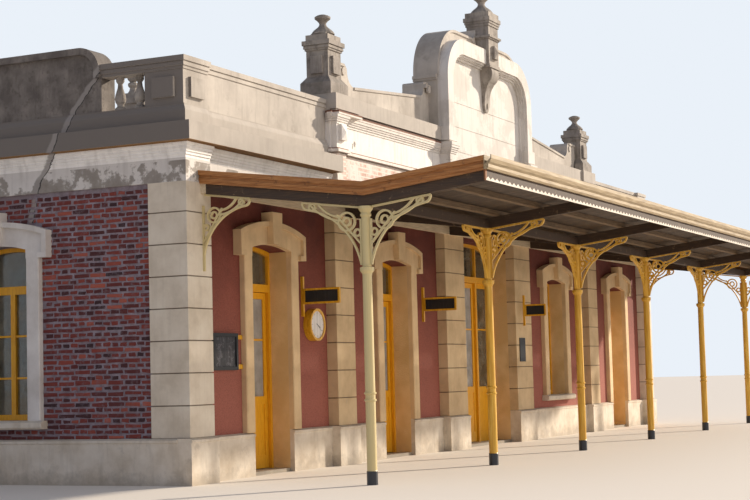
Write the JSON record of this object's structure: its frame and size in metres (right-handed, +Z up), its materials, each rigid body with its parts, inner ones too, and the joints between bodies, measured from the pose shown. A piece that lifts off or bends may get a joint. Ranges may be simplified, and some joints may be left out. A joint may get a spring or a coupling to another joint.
{
  "type": "railway station building",
  "caption": "Single-storey brick station with pilasters, moulded parapet and pediment, and a platform canopy on scroll-bracketed iron columns.",
  "frame": {"origin": "centre of the underside of the building block, at ground level", "axes": "+X along the platform front, +Y from the platform into the building, +Z up"},
  "size_m": [20.88, 10.215, 8.3086],
  "materials": {
    "brickwork": "old brickwork in lime mortar",
    "red_render": "roughcast, painted brown red",
    "painted_render": "smooth render, oil painted",
    "plinth_render": "damp stained render",
    "cement_render": "weathered cement render",
    "roof_screed": "screed",
    "ochre_joinery": "gloss painted timber",
    "glazing": "clear sheet",
    "canopy_timber": "painted timber",
    "canopy_sheet": "galvanised corrugated sheet",
    "gutter_paint": "painted sheet metal",
    "cast_columns": "oil painted cast iron",
    "fitting_paint": "painted"
  },
  "bodies": {
    "building": {"along_brackets": "cast_columns", "arched_hoods": "painted_render", "attic_parapets": "cement_render", "attic_wall": "cement_render", "ball_finials": "cement_render", "balusters": "cement_render", "balustrade_rails": "cement_render", "canopy_columns": "cast_columns", "canopy_sheets": "canopy_sheet", "clock": "fitting_paint", "cross_brackets": "cast_columns", "door_posts": "ochre_joinery", "eaves_strip": "canopy_timber", "end_cornices": "cement_render", "end_fascias": "canopy_timber", "end_parapets": "cement_render", "end_wall_piers": "brickwork", "fanlight_frames": "ochre_joinery", "fixed_glass": "glazing", "floor_slab": "plinth_render", "front_gutter": "gutter_paint", "front_wall_piers": "red_render", "long_cornices": "cement_render", "long_parapets": "cement_render", "pediment_back": "cement_render", "pediment_front": "cement_render", "pediment_pier": "cement_render", "pilasters": "painted_render", "pinnacles": "cement_render", "plinths": "plinth_render", "purlins": "canopy_timber", "rafters": "canopy_timber", "rear_wall_piers": "red_render", "roof_slab": "roof_screed", "side_leaves": "ochre_joinery", "sign_boards": "fitting_paint", "surround_jambs": "painted_render", "thresholds": "plinth_render", "valley_beams": "canopy_timber", "wall_aprons": "brickwork", "wall_boards": "fitting_paint", "wall_heads": "brickwork", "wall_plate": "canopy_timber", "window_frames": "ochre_joinery", "window_sills": "painted_render"},
    "centre_door": {"centre_door_leaf": "ochre_joinery", "centre_door_glass": "glazing"},
    "door_1_left": {"door_1_left_leaf": "ochre_joinery", "door_1_left_glass": "glazing"},
    "door_1_right": {"door_1_right_leaf": "ochre_joinery", "door_1_right_glass": "glazing"},
    "door_2_left": {"door_2_left_leaf": "ochre_joinery", "door_2_left_glass": "glazing"},
    "door_2_right": {"door_2_right_leaf": "ochre_joinery", "door_2_right_glass": "glazing"},
    "door_3_left": {"door_3_left_leaf": "ochre_joinery", "door_3_left_glass": "glazing"},
    "door_3_right": {"door_3_right_leaf": "ochre_joinery", "door_3_right_glass": "glazing"}
  },
  "joints": [
    {"name": "door_1_left_hinge", "type": "hinge", "parent": "building", "child": "door_1_left", "pos_m": [-8.434, -2.4567, 1.3], "axis": [0, 0, 1], "range_deg": [0, 90]},
    {"name": "door_1_right_hinge", "type": "hinge", "parent": "building", "child": "door_1_right", "pos_m": [-7.444, -2.4567, 1.3], "axis": [0, 0, -1], "range_deg": [0, 90]},
    {"name": "door_2_left_hinge", "type": "hinge", "parent": "building", "child": "door_2_left", "pos_m": [-4.326, -2.4567, 1.3], "axis": [0, 0, 1], "range_deg": [0, 90]},
    {"name": "door_2_right_hinge", "type": "hinge", "parent": "building", "child": "door_2_right", "pos_m": [-3.336, -2.4567, 1.3], "axis": [0, 0, -1], "range_deg": [0, 90]},
    {"name": "door_3_left_hinge", "type": "hinge", "parent": "building", "child": "door_3_left", "pos_m": [7.444, -2.4567, 1.3], "axis": [0, 0, 1], "range_deg": [0, 90]},
    {"name": "door_3_right_hinge", "type": "hinge", "parent": "building", "child": "door_3_right", "pos_m": [8.434, -2.4567, 1.3], "axis": [0, 0, -1], "range_deg": [0, 90]},
    {"name": "centre_door_hinge", "type": "hinge", "parent": "building", "child": "centre_door", "pos_m": [-0.33, -2.4567, 1.45], "axis": [0, 0, 1], "range_deg": [0, 90]}
  ]
}
